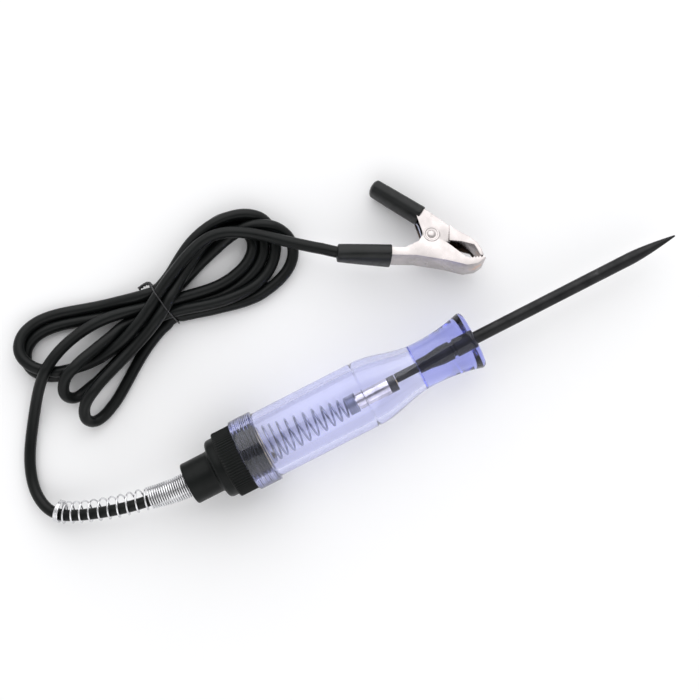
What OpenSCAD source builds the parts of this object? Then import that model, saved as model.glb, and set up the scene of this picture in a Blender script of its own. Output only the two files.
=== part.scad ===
// Circuit test light: a pointed steel probe in a clear screw-together handle that holds a lamp,
// with an earth lead that ends in a spring clip. The handle lies along +X on the bench plane.

/* [Probe] */
// Diameter of the steel probe
probe_d = 3.4; // [2.8:0.1:3.8]
// Length of probe that stands out of the handle
probe_reach = 60; // [45:1:80]
// Length of the ground point
point_length = 13.3; // [8:0.1:20]
// Radius left at the very end of the point
point_tip_r = 0.25; // [0.1:0.05:0.5]

/* [Barrel] */
// Length of the clear barrel from its flange to its nose
barrel_length = 68.2; // [64:0.2:72]
// Diameter of the straight part of the barrel
barrel_d = 18.3; // [17.5:0.1:19]
// Diameter of the waist behind the nose
waist_d = 12.4; // [11.5:0.1:13.5]
// Diameter of the nose
nose_d = 16; // [15:0.1:17]
// Diameter of the flange at the barrel's rear
flange_d = 19.9; // [19.5:0.1:21]
// Diameter of the bore that holds the lamp and the spring
bore_d = 14.6; // [13.5:0.1:15]
// Length of solid plastic at the nose
solid_nose = 16.6; // [14:0.1:18]

/* [Cap] */
// Length of the cap outside the barrel
cap_length = 16.4; // [15:0.1:18]
// Diameter over the grip ribs
grip_d = 18.4; // [17.6:0.1:19]
// Width of the ribbed ring
grip_width = 5.4; // [4:0.1:6.5]
// Number of grip ribs
grip_ribs = 72; // [48:1:90]
// Diameter of the neck that holds the strain relief
neck_d = 11.5; // [10:0.1:12.5]
// Length of thread that engages the barrel
thread_length = 5.8; // [4:0.1:7]
// Pitch of the thread that joins cap and barrel
thread_pitch = 1; // [0.75:0.05:1.25]

/* [Lead] */
// Diameter of the lead
cord_d = 3.1; // [2.8:0.1:3.3]
// Height of the tied hank
hank_height = 8.2; // [7.8:0.1:8.6]
// Wire of the strain relief
relief_wire = 0.5; // [0.45:0.01:0.5]

/* [Clip] */
// Width of the lower jaw
jaw_w = 7; // [6.6:0.1:7.6]
// Thickness of the clip's sheet steel
sheet = 0.5; // [0.4:0.05:0.55]
// Diameter of the clip's rivet
rivet_d = 1.9; // [1.6:0.1:2.2]
// How far the clip rolls on its side past flat
clip_roll = 20; // [15:1:25]
// How far the clip's nose points down
clip_pitch = 5; // [3:1:8]

/* [Hidden] */
$fn = 64;

axis_h = flange_d / 2;
tip_x = (probe_reach + barrel_length + cap_length) / 2;
nose_x = tip_x - probe_reach;
flange_x = nose_x - barrel_length;
tail_x = flange_x - cap_length;
probe_r = probe_d / 2;
shank_r = probe_r - 0.3;
point_x = tip_x - point_length;
bore_front_x = nose_x - solid_nose;
probe_rear_x = bore_front_x - 6.9;
flange_width = 6.4;
neck_front_x = -3;
body_front_x = -19.5;
body_r = barrel_d / 2;
waist_r = waist_d / 2;
nose_r = nose_d / 2;
waist_x = -1.5;
nose_round = 1.2;
bore_r = bore_d / 2;
thread_bore_r = bore_r + 0.2;
spigot_r = bore_r - 0.1;

spigot_x = flange_x + thread_length;
cap_wall = 1.5;
cavity_r = 5.9;
cavity_x = flange_x - 5;
cord_r = cord_d / 2;
cord_bore_r = cord_r + 0.05;
pocket_x = tail_x + 4;
pocket_r = 4;
terminal_thick = 0.5;
terminal_x = spigot_x + terminal_thick;

lamp_y = -0.9;
lamp_r = 2.3;
insulator_front_x = probe_rear_x - 0.2;
insulator_x = insulator_front_x - 2.2;
lamp_length = 9;
lamp_x = insulator_x - lamp_length;

clip_yaw = -30;
clip_place = [14.2, 28.9, 7];
rivet_r = rivet_d / 2;
ear_r = 2.4;
boot_rear = -24.6;
boot_front = -10.6;
boot_z = -5.5;
cord_end = -19;

// Points of the lead from the cap, through the strain relief and along the bench to the hank
lead_route = [[-60.5, 0, 9.95], [-66, 0, 9.95], [-72, 0, 9.95], [-78, 0.4, 9.9], [-84.1, 1, 9.6],
              [-90.2, 2.1, 8.9], [-96.2, 3.7, 7.8], [-102.2, 5.7, 6.2], [-107.2, 8.1, 4.9],
              [-110, 11.3, 3.9], [-111.1, 15.6, 2.8], [-110.8, 20, 1.9], [-108.7, 25.4, 1.6],
              [-105.6, 30.4, 1.7], [-102.4, 34.9, 2.4], [-99, 39, 4], [-95, 43, 5.6],
              [-90.5, 46.5, 6.2]];
// Points of the lead from the hank to the clip
tail_route = [[-38.8, 56.8, 6.2], [-32.2, 55.1, 6.8], [-26.2, 51, 7.8], [-20.1, 45.4, 9.2],
              [-13.7, 40.4, 10.5]];

function unit(v) = v / norm(v);
function mix(a, b, u) = a + (b - a) * u;
function smooth(u) = u * u * (3 - 2 * u);

// Catmull-Rom point at u from 0 to 1 between the second and third of four points
function spline_point(a, b, c, d, u) =
    0.5 * (2 * b + (c - a) * u + (2 * a - 5 * b + 4 * c - d) * u * u
           + (3 * b - a - 3 * c + d) * u * u * u);
function at_end(route, i) = route[min(max(i, 0), len(route) - 1)];
// Point of a route at t, where whole values of t are the route's own points
function along(route, t) =
    let (i = min(floor(t), len(route) - 2))
    spline_point(at_end(route, i - 1), route[i], route[i + 1], at_end(route, i + 2), t - i);
function smooth_route(route, steps) =
    [for (i = [0:(len(route) - 1) * steps]) along(route, i / steps)];

// Tube of radius r round a list of points, with its rings square to the path
module tube(path, r, sides, side_way) {
    n = len(path);
    rings = [for (i = [0:n - 1])
        let (way = unit(path[min(i + 1, n - 1)] - path[max(i - 1, 0)]),
             a = unit(cross(way, side_way)), b = cross(way, a))
        for (k = [0:sides - 1]) path[i] + r * (cos(360 * k / sides) * a + sin(360 * k / sides) * b)];
    walls = [for (i = [0:n - 2], k = [0:sides - 1], half = [0, 1])
        let (p = i * sides + k, q = i * sides + (k + 1) % sides)
        half == 0 ? [p, q, q + sides] : [p, q + sides, p + sides]];
    near = [[for (k = [sides - 1:-1:0]) k]];
    far = [[for (k = [0:sides - 1]) (n - 1) * sides + k]];
    polyhedron(rings, concat(walls, near, far), convexity = 10);
}

// Turns a profile of [radius, x] points round the handle's axis
module turned(profile) {
    translate([0, 0, axis_h]) rotate([0, 90, 0]) rotate_extrude() polygon(profile);
}
// Round bar along the handle's axis
module bar(r, x0, x1, y = 0) {
    translate([x0, y, axis_h]) rotate([0, 90, 0]) cylinder(r = r, h = x1 - x0);
}

function barrel_radius(x) =
    x > waist_x ? waist_r + (nose_r - waist_r) * pow((x - waist_x) / (nose_x - nose_round - waist_x), 2)
    : waist_r + (body_r - waist_r)
        * smooth(min(max((neck_front_x - x) / (neck_front_x - body_front_x), 0), 1));

// Clear barrel: a bored handle with a waist, a solid nose and a flange for the cap
module barrel() {
    neck_steps = 10;
    nose_steps = 8;
    outer_neck = [for (i = [0:neck_steps]) let (x = mix(body_front_x, neck_front_x, i / neck_steps))
        [barrel_radius(x), x]];
    outer_nose = [for (i = [0:nose_steps])
        let (x = mix(waist_x, nose_x - nose_round, i / nose_steps)) [barrel_radius(x), x]];
    nose_edge = [for (a = [15:15:90])
        [nose_r - nose_round + nose_round * cos(a), nose_x - nose_round + nose_round * sin(a)]];
    inner_neck = [for (i = [0:neck_steps]) let (x = mix(bore_front_x, body_front_x, i / neck_steps))
        [barrel_radius(x) * bore_r / body_r, x]];
    rear = [[thread_bore_r, flange_x], [flange_d / 2 - 0.4, flange_x], [flange_d / 2, flange_x + 0.4],
            [flange_d / 2, flange_x + flange_width - 0.4],
            [flange_d / 2 - 0.4, flange_x + flange_width], [body_r, flange_x + flange_width]];
    thread = [[bore_r, spigot_x + 0.3], [thread_bore_r, spigot_x + 0.3]];
    color([0.72, 0.74, 0.97, 0.45]) difference() {
        turned(concat(rear, outer_neck, outer_nose, nose_edge,
                      [[0, nose_x], [0, bore_front_x]], inner_neck, thread));
        probe_bar();
    }
}

module probe_bar() {
    point_steps = 8;
    point = [for (i = [0:point_steps]) let (u = i / point_steps)
        [mix(probe_r, point_tip_r, pow(u, 1.5)), mix(point_x, tip_x - point_tip_r, u)]];
    groove_r = shank_r - 0.2;
    turned(concat([[0, probe_rear_x], [shank_r - 0.3, probe_rear_x], [shank_r, probe_rear_x + 0.3],
                   [shank_r, bore_front_x + 1.4], [groove_r, bore_front_x + 1.9],
                   [groove_r, nose_x - 6.2], [shank_r, nose_x - 5.4], [shank_r, nose_x],
                   [probe_r, nose_x]],
                  point, [[0, tip_x]]));
}

// Steel probe with a thinner shank, moulded into the nose by a shallow groove
module probe() {
    color([0.13, 0.13, 0.14]) probe_bar();
}

// Black rear cap: a threaded spigot, a ribbed grip ring and a neck for the strain relief
module rear_cap() {
    ring_x = flange_x - grip_width;
    shoulder_x = ring_x - 2.9;
    shoulder = [for (a = [0:15:90]) [neck_d / 2 + 0.4 + 2.1 * cos(a), ring_x - 0.8 - 2.1 * sin(a)]];
    rib_r = grip_d / 2;
    color([0.1, 0.11, 0.11]) {
        turned(concat([[cord_bore_r, cavity_x], [cavity_r, cavity_x], [cavity_r, spigot_x - cap_wall],
                       [1.8, spigot_x - cap_wall], [1.8, spigot_x], [spigot_r, spigot_x],
                       [spigot_r, flange_x], [rib_r - 0.35, flange_x], [rib_r - 0.35, ring_x],
                       [neck_d / 2 + 2.5, ring_x]], shoulder,
                      [[neck_d / 2, shoulder_x], [neck_d / 2, tail_x + 0.6], [neck_d / 2 - 0.6, tail_x],
                       [pocket_r, tail_x], [pocket_r, pocket_x], [cord_bore_r, pocket_x]]));
        translate([ring_x, 0, axis_h]) rotate([0, 90, 0]) linear_extrude(grip_width) difference() {
            polygon([for (i = [0:2 * grip_ribs - 1])
                (rib_r - 0.3 * (i % 2)) * [cos(180 * i / grip_ribs), sin(180 * i / grip_ribs)]]);
            circle(rib_r - 0.6);
        }
    }
}

// Plated disc and solder cup in the cap, which the contact spring presses on
module cap_terminal() {
    cup_r = 1.5;
    color([0.78, 0.72, 0.55]) turned([[0, spigot_x - 4], [1, spigot_x - 4], [1, spigot_x - 8],
        [cup_r, spigot_x - 8], [cup_r, spigot_x], [6.2, spigot_x], [6.2, terminal_x],
        [0, terminal_x]]);
}

// Spring that presses the lamp on to the probe: open turns that taper to a close-wound end
module contact_spring() {
    wire_r = 0.25;
    open_turns = 11;
    close_turns = 5;
    steps = 12;
    rear_x = terminal_x + wire_r + 0.02;
    open_front_x = lamp_x - 3;
    turns = open_turns + close_turns;
    color([0.8, 0.82, 0.86]) tube([for (i = [0:turns * steps])
        let (t = i / steps, u = min(t / open_turns, 1), v = max(t - open_turns, 0) / close_turns,
             r = t < open_turns ? mix(5, 1.9, pow(u, 0.8)) : 1.9,
             x = t < open_turns ? mix(rear_x, open_front_x, mix(pow(u, 1.15), smooth(u), 0.3))
                                : mix(open_front_x, lamp_x - wire_r - 0.02, v))
        [x, lamp_y * u + r * cos(360 * t), axis_h + r * sin(360 * t)]], wire_r, 6, [1, 0, 0]);
}

// Plated shell of the lamp, with a stub for the spring and two windows for the light
module lamp_shell() {
    color([0.82, 0.81, 0.82]) difference() {
        union() {
            bar(lamp_r, lamp_x, insulator_x, lamp_y);
            bar(1.5, lamp_x - 2.9, lamp_x, lamp_y);
        }
        bar(lamp_r - 0.3, lamp_x + 0.8, insulator_x + 0.1, lamp_y);
        translate([lamp_x + 2, lamp_y - 3, axis_h - 0.9]) cube([5.4, 6, 1.8]);
    }
}

// Glass envelope of the lamp
module lamp_glass() {
    glass_r = 1.7;
    rear_x = lamp_x + 0.8;
    color([0.95, 0.97, 1, 0.5]) translate([0, lamp_y, 0]) turned(concat(
        [[0, rear_x], [glass_r, rear_x]],
        [for (a = [0:15:90]) [glass_r * cos(a), insulator_x - 0.6 - glass_r + glass_r * sin(a)]],
        [[0, insulator_x - 0.9], [glass_r - 0.5, insulator_x - 0.9 - glass_r],
         [glass_r - 0.5, rear_x + 1.2], [0, rear_x + 1.2]]));
}

// Filament: a fine coil between two lead wires that rise from the glass pinch
module lamp_filament() {
    post_x = lamp_x + 2;
    coil_x = lamp_x + 5.4;
    color([0.55, 0.52, 0.5]) {
        for (side = [-1, 1]) bar(0.09, post_x, coil_x + 0.1, lamp_y + side * 0.62);
        translate([coil_x, lamp_y - 0.71, axis_h]) rotate([-90, 0, 0]) cylinder(r = 0.14, h = 1.42, $fn = 24);
    }
}

// Black disc that keeps the lamp's contact off its shell
module lamp_insulator() {
    color([0.08, 0.08, 0.09]) difference() {
        bar(lamp_r - 0.1, insulator_x, insulator_front_x, lamp_y);
        bar(0.8, insulator_x - 1, insulator_front_x + 1, lamp_y);
    }
}

// Contact pin that touches the rear end of the probe
module lamp_contact() {
    color([0.8, 0.68, 0.38]) bar(0.8, insulator_x - 0.4, probe_rear_x, lamp_y);
}

// Strain relief: a steel spring, close-wound at the cap, open along the lead and closed at its end
module strain_relief() {
    close_turns = 24;
    open_turns = 10;
    end_turns = 3;
    steps = 10;
    turns = close_turns + open_turns + end_turns;
    // The spring starts in the cap's pocket and its length is measured in points of the lead's route;
    // past the close-wound part the lead lies against one side of the turns
    start_t = 1.42;
    close_t = 3.9;
    open_t = 8.05;
    end_t = 8.32;
    color([0.78, 0.79, 0.82]) tube([for (i = [0:turns * steps])
        let (n = i / steps,
             t = n < close_turns ? mix(start_t, close_t, n / close_turns)
                 : n < close_turns + open_turns ? mix(close_t, open_t, (n - close_turns) / open_turns)
                 : mix(open_t, end_t, (n - close_turns - open_turns) / end_turns),
             r = n < close_turns ? mix(3.4, 2.85, n / close_turns) : 2.85,
             sag = 0.8 * smooth(min(max((t - 2.6) / 2, 0), 1)),
             way = unit(along(lead_route, t + 0.05) - along(lead_route, t - 0.05)),
             a = unit(cross(way, [0, 0, 1])), b = cross(a, way))
        along(lead_route, t) + sag * a + r * (cos(360 * n) * a + sin(360 * n) * b)],
        relief_wire / 2, 6, [1, 0, 0]);
}

// Lead from the cap to the hank
module cord_lead() {
    color([0.09, 0.1, 0.1]) tube(smooth_route(lead_route, 2), cord_r, 8, [0, 0, 1]);
}

// Bared wire at the cap end, in the terminal's solder cup
module cord_conductor_cap() {
    color([0.75, 0.42, 0.25]) bar(0.9, lead_route[0][0], spigot_x - 4.2);
}

// The tied hank as one solid of its outer shape
module cord_hank() {
    color([0.11, 0.12, 0.12]) linear_extrude(hank_height) {
        hull() {
            translate([-91.5, 50.5]) circle(7, $fn = 32);
            translate([-86.5, 33]) circle(5, $fn = 32);
            translate([-57, 46]) circle(6, $fn = 32);
        }
        hull() {
            translate([-34, 56.5]) circle(6, $fn = 32);
            translate([-25.5, 48.5]) circle(8, $fn = 32);
            translate([-34, 42]) circle(5.5, $fn = 32);
            translate([-57, 46]) circle(6, $fn = 32);
        }
    }
}

// Thin band that ties the hank at its middle
module cord_tie() {
    wide = 12.8;
    thick = 0.8;
    corner = 2.6;
    high = hank_height + 1;
    color([0.07, 0.07, 0.08]) translate([-57, 46, high / 2]) rotate([90, 0, 98])
        linear_extrude(1.2, center = true) difference() {
            rounded_square(wide, high, corner);
            rounded_square(wide - 2 * thick, high - 2 * thick, corner - thick);
        }
}

module rounded_square(wide, high, corner) {
    square([wide - 2 * corner, high], center = true);
    square([wide, high - 2 * corner], center = true);
    for (x = [-1, 1], y = [-1, 1])
        translate([x * (wide / 2 - corner), y * (high / 2 - corner)]) circle(corner, $fn = 32);
}

// Where a point in the clip's own frame lies: x to the nose, y along the rivet, z to the grip
function turn_x(p, a) = [p[0], p[1] * cos(a) - p[2] * sin(a), p[1] * sin(a) + p[2] * cos(a)];
function turn_y(p, a) = [p[0] * cos(a) + p[2] * sin(a), p[1], p[2] * cos(a) - p[0] * sin(a)];
function turn_z(p, a) = [p[0] * cos(a) - p[1] * sin(a), p[0] * sin(a) + p[1] * cos(a), p[2]];
function clip_point(p) =
    clip_place + turn_z(turn_y(turn_x(p, -90 - clip_roll), clip_pitch), clip_yaw);
module in_clip() {
    translate(clip_place) rotate([-90 - clip_roll, clip_pitch, clip_yaw]) children();
}
// Slab of an outline drawn in the clip's side view
module side_slab(wide) {
    rotate([90, 0, 0]) linear_extrude(wide, center = true) children();
}
module rivet_bar(r, length) {
    rotate([90, 0, 0]) cylinder(r = r, h = length, center = true);
}

// Lead from the hank to the clip
module cord_tail() {
    route = concat(tail_route, [clip_point([boot_rear - 1, 0, boot_z]),
                                clip_point([(boot_rear + cord_end) / 2, 0, boot_z]),
                                clip_point([cord_end, 0, boot_z])]);
    color([0.09, 0.1, 0.1]) tube(smooth_route(route, 2), cord_r, 8, [0, 0, 1]);
}

// Bared wire at the clip end, in the jaw's crimp
module cord_conductor_clip() {
    color([0.75, 0.42, 0.25]) in_clip() translate([cord_end, 0, boot_z]) rotate([0, 90, 0])
        cylinder(r = 0.9, h = 5);
}

// Soft sleeve over the lower jaw's tail and the end of the lead
module clip_boot() {
    color([0.08, 0.08, 0.09]) in_clip() difference() {
        hull() {
            translate([boot_rear, 0, boot_z]) rotate([0, 90, 0]) cylinder(r = 2.35, h = 0.5, $fn = 32);
            translate([boot_front - 0.5, 0, boot_z]) rotate([0, 90, 0])
                scale([2.5, 4.1, 1]) cylinder(r = 1, h = 0.5, $fn = 32);
        }
        translate([boot_rear - 1, 0, boot_z]) rotate([0, 90, 0]) cylinder(r = cord_r + 0.15, h = 8);
        translate([cord_end - 0.5, -jaw_w / 2 + 1.9, boot_z - 1.4]) cube([9, jaw_w - 3.8, 2.8]);
        translate([boot_front - 3.4, -jaw_w / 2 - 0.05, boot_z - 1.4]) cube([4, jaw_w + 0.1, 2.8]);
    }
}

// Lower jaw: a folded steel channel with two ears for the rivet, a toothed edge and a crimp tail
module clip_lower_jaw() {
    teeth = [for (i = [0:4]) each [[13.4 - 0.8 * i, -5.95 - 0.1 * i], [13 - 0.8 * i, -5.45 - 0.16 * i]]];
    ear = [for (a = [-30:20:190]) ear_r * [cos(a), sin(a)]];
    outline = concat([[-13.6, boot_z - 1.2], [-4, -6.3], [4, -7.2], [9.5, -8.3], [12.5, -7.6], [14.5, -6],
                      [13.9, -5.4]], teeth, [[9.4, -6.1], [4.2, -2.2]], ear,
                     [[-3.4, -2.2], [-7, -4.3], [-13.6, boot_z + 1.1]]);
    color([0.85, 0.83, 0.83]) in_clip() difference() {
        union() {
            difference() {
                side_slab(jaw_w) polygon(outline);
                side_slab(jaw_w - 2 * sheet) translate([0, sheet]) polygon(outline);
                side_slab(jaw_w - 2 * sheet) polygon([[-14, boot_z], [-14, 4], [4, 4], [4, boot_z]]);
            }
            translate([cord_end + 1.2, -1, boot_z - 1.35]) cube([5, 2, 0.4]);
            difference() {
                translate([cord_end + 0.8, 0, boot_z]) rotate([0, 90, 0]) cylinder(r = 1.3, h = 3.4);
                translate([cord_end, 0, boot_z]) rotate([0, 90, 0]) cylinder(r = 0.95, h = 5);
            }
        }
        rivet_bar(rivet_r, jaw_w + 1);
    }
}

// Rivet that the jaws turn on, with a head outside each ear
module clip_rivet() {
    color([0.8, 0.78, 0.77]) in_clip() {
        rivet_bar(rivet_r, jaw_w);
        for (side = [-1, 1]) translate([0, side * (jaw_w / 2 + 0.225), 0]) rivet_bar(rivet_r + 0.45, 0.45);
    }
}

// Torsion spring round the rivet, with a leg on each arm
module clip_spring() {
    coil_r = 1.65;
    wire_r = 0.28;
    turns = 2.8;
    steps = 15;
    start_a = 140;
    coil = [for (i = [0:turns * steps]) let (t = i / steps, a = start_a - 360 * t)
        [coil_r * cos(a), mix(-1, 1, t / turns), coil_r * sin(a)]];
    low_leg = [[-6.6, -1, -5.35], [-4.2, -1, -4.1]];
    high_leg = [[-3, 1, 4.2], [-4, 1, 5]];
    color([0.7, 0.7, 0.72]) in_clip() tube(concat(low_leg, coil, high_leg), wire_r, 6, [0, 1, 0]);
}

// Upper jaw: a narrow arm between the ears, and a hooked nose as wide as the lower jaw
module clip_upper_jaw() {
    inner_w = jaw_w - 2 * sheet - 0.4;
    arm = [[-12.4, 13.6], [-1.2, 7.2], [3, 4.3], [5.2, 2.6], [5.2, -1.5], [2.4, -2], [0, -2.3], [-2, -1.2],
           [-2.4, 1.2], [-4.2, 6.2], [-13.3, 11.8]];
    nose = [[4.8, 3], [6.2, 1.9], [10, 0], [12.2, -1.6], [13.4, -3.5], [13.9, -5.2], [13, -5.2],
            [12.3, -3.7], [11.4, -2.3], [8, -1.6], [4.8, -1.5]];
    color([0.84, 0.82, 0.82]) in_clip() difference() {
        union() {
            difference() {
                side_slab(inner_w) polygon(arm);
                side_slab(inner_w - 2 * sheet) translate([0, -sheet * 1.15]) polygon(arm);
                side_slab(inner_w - 2 * sheet) polygon([[-14, -4], [-14, 11.2], [-4.2, 5.6], [4, 2.4], [4, -4]]);
            }
            difference() {
                side_slab(jaw_w) polygon(nose);
                side_slab(jaw_w - 2 * sheet) translate([-0.35, -sheet]) polygon(nose);
            }
        }
        rivet_bar(rivet_r + 0.05, jaw_w + 1);
    }
}

// Soft sleeve with a closed end over the upper jaw's arm
module clip_grip() {
    tilt = 30;
    place = [-14.6, 0, 14];
    color([0.08, 0.08, 0.09]) in_clip() difference() {
        hull() {
            translate(place) rotate([0, tilt, 0]) scale([0.5, 1.2, 1]) sphere(2.1, $fn = 24);
            translate([-3.6, 0, 7.75]) rotate([0, 90 + tilt, 0]) scale([2.2, 3.4, 1])
                cylinder(r = 1, h = 0.5, $fn = 32);
        }
        side_slab(jaw_w - 2 * sheet - 0.4) polygon([[-13.4, 11.7], [-12.4, 13.75], [-2, 7.9], [-2, 5],
                                                   [-4.2, 6.1]]);
    }
}

barrel();
probe();
rear_cap();
cap_terminal();
contact_spring();
lamp_shell();
lamp_glass();
lamp_filament();
lamp_insulator();
lamp_contact();
strain_relief();
cord_lead();
cord_conductor_cap();
cord_hank();
cord_tie();
cord_tail();
cord_conductor_clip();
clip_boot();
clip_lower_jaw();
clip_rivet();
clip_spring();
clip_upper_jaw();
clip_grip();
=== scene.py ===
"""Looks of a circuit test light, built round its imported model.

Every object is in metres in the model's own frame: the handle lies along +X with its point at +X, and +Z is
up from the bench. Lengths in the sections are in millimetres and are turned into metres as meshes are made.
"""
import math
import bmesh
import bpy
import numpy as np
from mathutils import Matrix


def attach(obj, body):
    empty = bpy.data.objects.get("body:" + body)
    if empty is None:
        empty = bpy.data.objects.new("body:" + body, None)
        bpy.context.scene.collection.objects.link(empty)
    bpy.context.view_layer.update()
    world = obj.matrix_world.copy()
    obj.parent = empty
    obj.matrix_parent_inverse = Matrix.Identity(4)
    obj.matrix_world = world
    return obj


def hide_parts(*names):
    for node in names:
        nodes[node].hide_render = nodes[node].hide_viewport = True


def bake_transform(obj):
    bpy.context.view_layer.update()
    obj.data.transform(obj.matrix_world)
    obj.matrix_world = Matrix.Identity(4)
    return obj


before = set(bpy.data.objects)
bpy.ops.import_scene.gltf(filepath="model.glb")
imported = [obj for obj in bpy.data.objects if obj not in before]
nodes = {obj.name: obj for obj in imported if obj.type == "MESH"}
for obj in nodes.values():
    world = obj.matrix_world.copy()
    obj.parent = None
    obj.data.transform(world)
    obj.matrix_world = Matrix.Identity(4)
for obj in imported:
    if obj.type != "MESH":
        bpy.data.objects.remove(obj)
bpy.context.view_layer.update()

# ------------------------------------------------------------------ camera
# Looks straight down on the bench from 0.41 m, turned so that the point of the probe is up and to the right.
camera = bpy.data.objects.new("camera", bpy.data.cameras.new("camera"))
bpy.context.scene.collection.objects.link(camera)
camera.location = (-0.0182, 0.01225, 0.41195)
camera.rotation_euler = (0, 0, math.radians(-27.1))
camera.data.lens = 78.0
camera.data.sensor_width = 36.0
bpy.context.scene.camera = camera

# ------------------------------------------------------------------ bench and light
# A plain white bench in an evenly lit white room that is darker straight overhead, with one broad soft lamp
# over the far side of the object and a weaker one over the near side.

def new_material(name, **shader):
    """A material whose Principled shader takes the values given by socket name, with _ for a space."""
    mat = bpy.data.materials.new(name)
    mat.use_nodes = True
    tree = mat.node_tree
    principled = tree.nodes["Principled BSDF"]
    for socket, value in shader.items():
        principled.inputs[socket.replace("_", " ")].default_value = value
    return mat, tree, principled


def mesh_object(name, points, faces, mat, smooth=True):
    """An object at the origin from points in millimetres and faces as arrays of point numbers."""
    mesh = bpy.data.meshes.new(name)
    mesh.from_pydata((np.asarray(points, float) * 0.001).tolist(), [], [list(map(int, f)) for f in faces])
    mesh.materials.append(mat)
    mesh.polygons.foreach_set("use_smooth", np.full(len(mesh.polygons), smooth))
    mesh.update()
    obj = bpy.data.objects.new(name, mesh)
    bpy.context.scene.collection.objects.link(obj)
    return obj


bench_mat, _, _ = new_material("bench_white", Base_Color=(0.93, 0.93, 0.94, 1), Roughness=0.7)
bench = mesh_object("bench", [(-1500, -1500, 0), (1500, -1500, 0), (1500, 1500, 0), (-1500, 1500, 0)],
                    [(0, 1, 2, 3)], bench_mat)

room = bpy.data.worlds.new("white_room")
room.use_nodes = True
tree = room.node_tree
sky = tree.nodes.new("ShaderNodeSeparateXYZ")
tree.links.new(tree.nodes.new("ShaderNodeTexCoord").outputs["Generated"], sky.inputs[0])
shade = tree.nodes.new("ShaderNodeValToRGB")
for element, place, grey in zip(shade.color_ramp.elements, (0.55, 0.98), (1.0, 0.30)):
    element.position = place
    element.color = (grey, grey, grey, 1)
tree.links.new(sky.outputs["Z"], shade.inputs["Fac"])
tree.links.new(shade.outputs["Color"], tree.nodes["Background"].inputs["Color"])
tree.nodes["Background"].inputs["Strength"].default_value = 0.9
bpy.context.scene.world = room
bpy.context.scene.view_settings.view_transform = "Standard"


def soft_lamp(name, place, aim, size, power):
    """A square area lamp of a size in metres at a place, facing a point."""
    data = bpy.data.lights.new(name, "AREA")
    data.size, data.energy = size, power
    lamp = bpy.data.objects.new(name, data)
    back = np.array(place, float) - np.array(aim, float)
    lamp.location = place
    lamp.rotation_euler = (math.atan2(math.hypot(back[0], back[1]), back[2]), 0,
                           math.atan2(back[1], back[0]) + math.pi / 2)
    bpy.context.scene.collection.objects.link(lamp)
    return lamp


soft_lamp("far_lamp", (0.25, 0.6, 0.6), (-0.02, 0.02, 0), 1.2, 6.2)
soft_lamp("near_lamp", (-0.25, -0.5, 0.6), (-0.02, 0.02, 0), 0.8, 1.6)

# ------------------------------------------------------------------ lead
# The earth lead: 0.85 m of flexible black PVC cable, 3.1 mm thick. It leaves the cap through a spring, lies
# on the bench, is folded into a hank of nine runs that a thin band ties, and ends in the clip's boot.
LEAD_D = 3.1
lead_out = [(-60.5, 0, 9.95), (-66, 0, 9.95), (-72, 0, 9.95), (-78, 0.4, 9.9), (-84.1, 1, 9.6),
            (-90.2, 2.1, 8.9), (-96.2, 3.7, 7.8), (-102.2, 5.7, 6.2), (-107.2, 8.1, 4.9), (-110, 11.3, 3.9),
            (-111.1, 15.6, 2.8), (-110.8, 20, 1.9), (-108.7, 25.4, 1.6), (-105.6, 30.4, 1.7),
            (-102.4, 34.9, 2.4), (-99, 39, 4), (-95, 43, 5.8), (-91, 46, 7.4)]
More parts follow.
